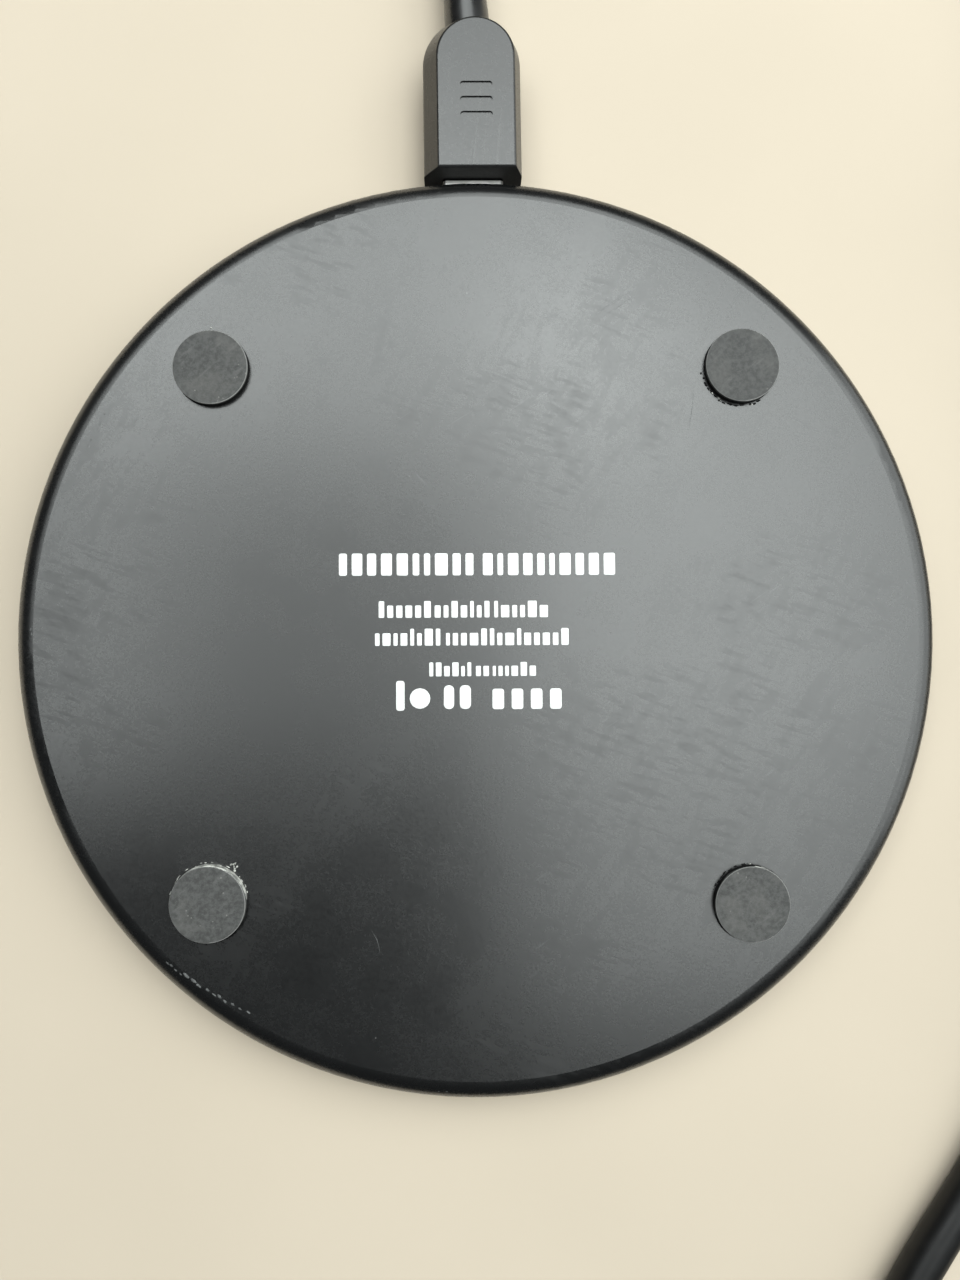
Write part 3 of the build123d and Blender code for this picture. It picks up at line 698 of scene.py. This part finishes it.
def rounded_block(width, length, corner, inset):
    """Outline of a rounded rectangle about the origin, drawn in by an inset."""
    steps = 4
    outline = []
    for quarter, (side_x, side_y) in enumerate(((1, 1), (-1, 1), (-1, -1), (1, -1))):
        for step in range(steps + 1):
            angle = math.radians(90) * (quarter + step / steps)
            outline.append((
                side_x * (width / 2 - corner) + (corner - inset) * math.cos(angle),
                side_y * (length / 2 - corner) + (corner - inset) * math.sin(angle),
            ))
    return outline


def print_block(piece, left, right, low, high, corner=0.28 * MM):
    """One rounded block of ink, its edge a little thinner than its middle."""
    ink = 0.02 * MM
    turn = math.radians(-0.5)  # the print is a hair askew of the port
    middle_x, middle_y = (left + right) / 2, (low + high) / 2
    rows = []
    for inset, height in ((0, 0), (0, 0.5 * ink), (0.03 * MM, ink)):
        row = []
        for x, y in rounded_block(right - left, high - low, corner, inset):
            x, y = x + middle_x, y + middle_y
            turned_x = x * math.cos(turn) - y * math.sin(turn)
            turned_y = x * math.sin(turn) + y * math.cos(turn)
            row.append((turned_x, turned_y, back_face + height))
        rows.append(row)
    piece.skin(rows)


def print_words(name, words, low, high, letter, seed):
    """Words stood in for by runs of blocks: a third of them tall, or all of them."""
    chance = random.Random(seed)
    piece = Piece(name, "white_ink")
    all_capitals = letter > 1.0 * MM
    gap = 0.48 * letter
    for left, right in words:
        count = max(1, round((right - left + gap) / (letter + gap)))
        shares = [0.6 + 0.8 * chance.random() for _ in range(count)]
        ink_width = right - left - gap * (count - 1)
        at = left
        for share in shares:
            width = ink_width * share / sum(shares)
            tall = chance.random() < 0.35 or all_capitals
            top = high if tall else low + 0.74 * (high - low)
            print_block(piece, at, at + width, low, top, corner=0.2 * letter)
            at += width + gap
    piece.done()


def print_all():
    print_words("print_heading", [(-15.15 * MM, -0.7 * MM), (0.3 * MM, 14.6 * MM)],
                6.0 * MM, 8.4 * MM, 1.05 * MM, 3)
    print_words("print_input", [(-10.9 * MM, -5.3 * MM), (-4.9 * MM, 1.0 * MM), (1.5 * MM, 7.3 * MM)],
                1.45 * MM, 3.25 * MM, 0.64 * MM, 5)
    print_words("print_output", [(-11.3 * MM, -4.3 * MM), (-3.7 * MM, 9.5 * MM)],
                -1.55 * MM, 0.28 * MM, 0.64 * MM, 8)
    print_words("print_origin", [(-5.5 * MM, -1.0 * MM), (-0.5 * MM, 0.9 * MM), (1.3 * MM, 5.95 * MM)],
                -4.85 * MM, -3.35 * MM, 0.56 * MM, 13)
    marks = Piece("print_marks", "white_ink")
    print_block(marks, -9.05 * MM, -8.15 * MM, -8.50 * MM, -5.30 * MM)
    print_block(marks, -7.60 * MM, -5.40 * MM, -8.30 * MM, -6.10 * MM, corner=1.09 * MM)
    print_block(marks, -3.95 * MM, -2.85 * MM, -8.35 * MM, -5.80 * MM, corner=0.5 * MM)
    print_block(marks, -2.25 * MM, -1.05 * MM, -8.35 * MM, -5.80 * MM, corner=0.5 * MM)
    for k in range(4):
        left = (1.25 + 2.06 * k) * MM
        print_block(marks, left, left + 1.25 * MM, -8.40 * MM, -6.20 * MM)
    marks.done()


def crumb(piece, place, length, width, height, chance):
    """A low irregular lump; place turns (along, across, lift) into a point."""
    corners = 9
    ragged = [0.65 + 0.7 * chance.random() for _ in range(corners)]
    rows = []
    for size, lift in ((1.0, -0.15), (0.80, 0.6), (0.42, 1.0)):
        row = []
        for k, reach in enumerate(ragged):
            angle = 2 * math.pi * k / corners
            along = size * reach * length / 2 * math.cos(angle)
            across = size * reach * width / 2 * math.sin(angle)
            row.append(place(along, across, lift * height * (0.7 + 0.6 * chance.random())))
        rows.append(row)
    piece.skin(rows)


def beside_foot(spot, angle, out):
    """Places a crumb beside a foot, at this angle and this far out from its side."""
    centre_x, centre_y = foot_spot(spot)

    def place(along, across, lift):
        radius = foot_radius + out + across
        turn = math.radians(angle) + along / radius
        return (centre_x + radius * math.cos(turn), centre_y + radius * math.sin(turn), back_face + lift)

    return place


def on_rim(angle, reach):
    """Places a crumb on the back face or round its rim, this far out along the surface."""

    def place(along, across, lift):
        turn = math.radians(angle) + along / reach
        run = reach + across
        fall = max(0.0, run - edge_start) / edge_round
        radius = min(run, edge_start) + (edge_round + lift) * math.sin(fall)
        height = back_face - edge_round + (edge_round + lift) * math.cos(fall)
        return (radius * math.cos(turn), radius * math.sin(turn), height)

    return place


def bead(piece, spot, start, end, width, height, chance):
    """A ragged bead against a foot's side from one angle to another, thin at both ends."""
    centre_x, centre_y = foot_spot(spot)
    steps = max(6, round(abs(end - start) / 3))
    rows = []
    for step in range(steps + 1):
        turn = math.radians(start + (end - start) * step / steps)
        taper = math.sqrt(max(0.0, math.sin(math.pi * step / steps)))
        reach = width * taper * (0.7 + 0.6 * chance.random())
        top = height * (0.3 + 0.7 * taper) * (0.94 + 0.12 * chance.random())
        inner = [(-0.03 * MM, 0.0), (-0.02 * MM, top)]
        outer = [(0.5 * reach, 0.85 * top), (0.01 * MM + reach, -0.02 * MM)]
        row = []
        for out, lift in inner + outer:
            x = centre_x + (foot_radius + out) * math.cos(turn)
            y = centre_y + (foot_radius + out) * math.sin(turn)
            row.append((x, y, back_face + lift))
        rows.append(row)
    piece.skin(rows, closed=False, capped=False)


def foot_residue_and_painted_shade():
    """Dirt and squeezed-out adhesive round the feet, each foot in its own way, with dark beads of painted
    shade against their sides.
    """
    chance = random.Random(21)
    dark = Piece("foot_dirt_and_painted_shade", "dark_glue_and_painted_shade")
    # Painted shade: the dark beads stand in for the shaded gap along each foot's side; the dark crumbs below
    # are dirt.
    bead(dark, "port_left", 75, -168, 0.05 * MM, 0.62 * MM, chance)
    bead(dark, "port_right", 125, 330, 0.05 * MM, 0.55 * MM, chance)
    bead(dark, "far_left", 8, -100, 0.26 * MM, 0.30 * MM, chance)
    bead(dark, "far_right", 8, 60, 0.11 * MM, 0.60 * MM, chance)
    bead(dark, "far_right", 52, 128, 0.04 * MM, 0.82 * MM, chance)
    bead(dark, "far_right", 126, 191, 0.05 * MM, 0.82 * MM, chance)
    bead(dark, "far_right", 195, 256, 0.11 * MM, 0.82 * MM, chance)
    for angle in (188, 196, 205, 213, 219, 228, 236, 243, 251, 254, 262, 271, 283, 289, 297):
        place = beside_foot("port_right", angle, (0.12 + 0.30 * chance.random()) * MM)
        crumb(dark, place, (0.25 + 0.4 * chance.random()) * MM, 0.22 * MM, 0.10 * MM, chance)
    for angle in (100, 112, 121, 131, 137, 146, 152):
        place = beside_foot("far_right", angle, (0.10 + 0.12 * chance.random()) * MM)
        crumb(dark, place, (0.35 + 0.4 * chance.random()) * MM, 0.20 * MM, 0.10 * MM, chance)
    dark.done()

    pale = Piece("foot_adhesive", "pale_glue")
    bead(pale, "far_left", 5, 152, 0.07 * MM, 0.93 * MM, chance)
    bead(pale, "far_right", 58, 100, 0.03 * MM, 0.90 * MM, chance)
    for angle in (166, 163, 150, 146, 139, 124, 110, 101, 95, 86, 74, 62, 40, 33, 24, 15):
        place = beside_foot("far_left", angle, (0.06 + 0.22 * chance.random()) * MM)
        crumb(pale, place, (0.2 + 0.5 * chance.random()) * MM, 0.09 * MM, 0.10 * MM, chance)
    burr = ((51, 0.28), (52.5, 0.46), (55, 0.60), (57.5, 0.74), (52, 0.78), (56, 0.92), (60, 0.62))
    for angle, out in burr:
        place = beside_foot("far_left", angle, out * MM)
        crumb(pale, place, 0.22 * MM, 0.26 * MM, 0.18 * MM, chance)
    for spot, angle, out in (("port_left", 91, 0.55), ("port_right", 222, 0.26), ("port_right", 238, 0.34),
                             ("port_right", 234, 0.20), ("far_right", 90, 0.12), ("port_right", 285, 0.3)):
        crumb(pale, beside_foot(spot, angle, out * MM), 0.30 * MM, 0.16 * MM, 0.12 * MM, chance)
    pale.done()


def scratch(piece, points, width):
    """A fine scratch on the underside through these points, narrower at both ends."""
    path = [Vector((x * MM, y * MM)) for x, y in points]
    rows = []
    for k, place in enumerate(path):
        ahead = path[min(k + 1, len(path) - 1)] - path[max(k - 1, 0)]
        side = Vector((-ahead.y, ahead.x)).normalized() * width / 2
        if k in (0, len(path) - 1):
            side = side * 0.2
        rows.append([(*(place - side), back_face + 0.001 * MM), (*place, back_face + 0.004 * MM),
                     (*(place + side), back_face + 0.001 * MM)])
    piece.skin(rows, closed=False, capped=False)


def back_scratches():
    scratches = Piece("back_scratches", "worn_plastic")
    scratch(scratches, [(23.6, 26.0), (23.55, 24.6), (23.3, 23.2), (23.05, 21.6)], 0.07 * MM)
    scratch(scratches, [(13.1, 34.4), (14.4, 35.3), (15.8, 36.2), (17.3, 37.0)], 0.06 * MM)
    scratch(scratches, [(13.9, 34.1), (15.1, 34.9), (16.4, 35.8), (17.6, 36.5)], 0.05 * MM)
    scratch(scratches, [(-12.0, -31.5), (-11.4, -32.6), (-11.1, -33.9)], 0.05 * MM)
    scratches.done()


def rim_wear():
    """Small whitened nicks where the rim was knocked."""
    chance = random.Random(34)
    wear = Piece("rim_nicks", "worn_plastic")
    for start, end, first_reach, last_reach, count, size in (
        (225.5, 228.5, 48.1, 47.9, 4, 0.35),
        (228.5, 238.2, 47.8, 47.0, 10, 0.62),
        (149.0, 154.5, 46.5, 46.5, 5, 0.35),
        (178.6, 180.2, 47.8, 47.8, 2, 0.35),
        (263.5, 265.5, 49.0, 49.0, 2, 0.35),
        (10.0, 10.8, 44.2, 44.2, 1, 0.30),
    ):
        for k in range(count):
            share = (k + 0.2 + 0.6 * chance.random()) / count
            reach = first_reach + (last_reach - first_reach) * share + 0.2 * (chance.random() - 0.5)
            length = size * (0.6 + 0.7 * chance.random())
            place = on_rim(start + (end - start) * share, reach * MM)
            crumb(wear, place, length * MM, 0.40 * length * MM, 0.012 * MM, chance)
    wear.done()


for name, node in nodes.items():
    paint(node, finishes[slot_of[name]])
paint(nodes["plug_strain_relief"], finishes["relief_pvc"])
paint(nodes["plug_a_strain_relief"], finishes["relief_pvc"])
paint(cord, finishes["cord_pvc"])
paint(floor, floor_paper())
print_all()
foot_residue_and_painted_shade()
back_scratches()
rim_wear()

bpy.context.view_layer.update()
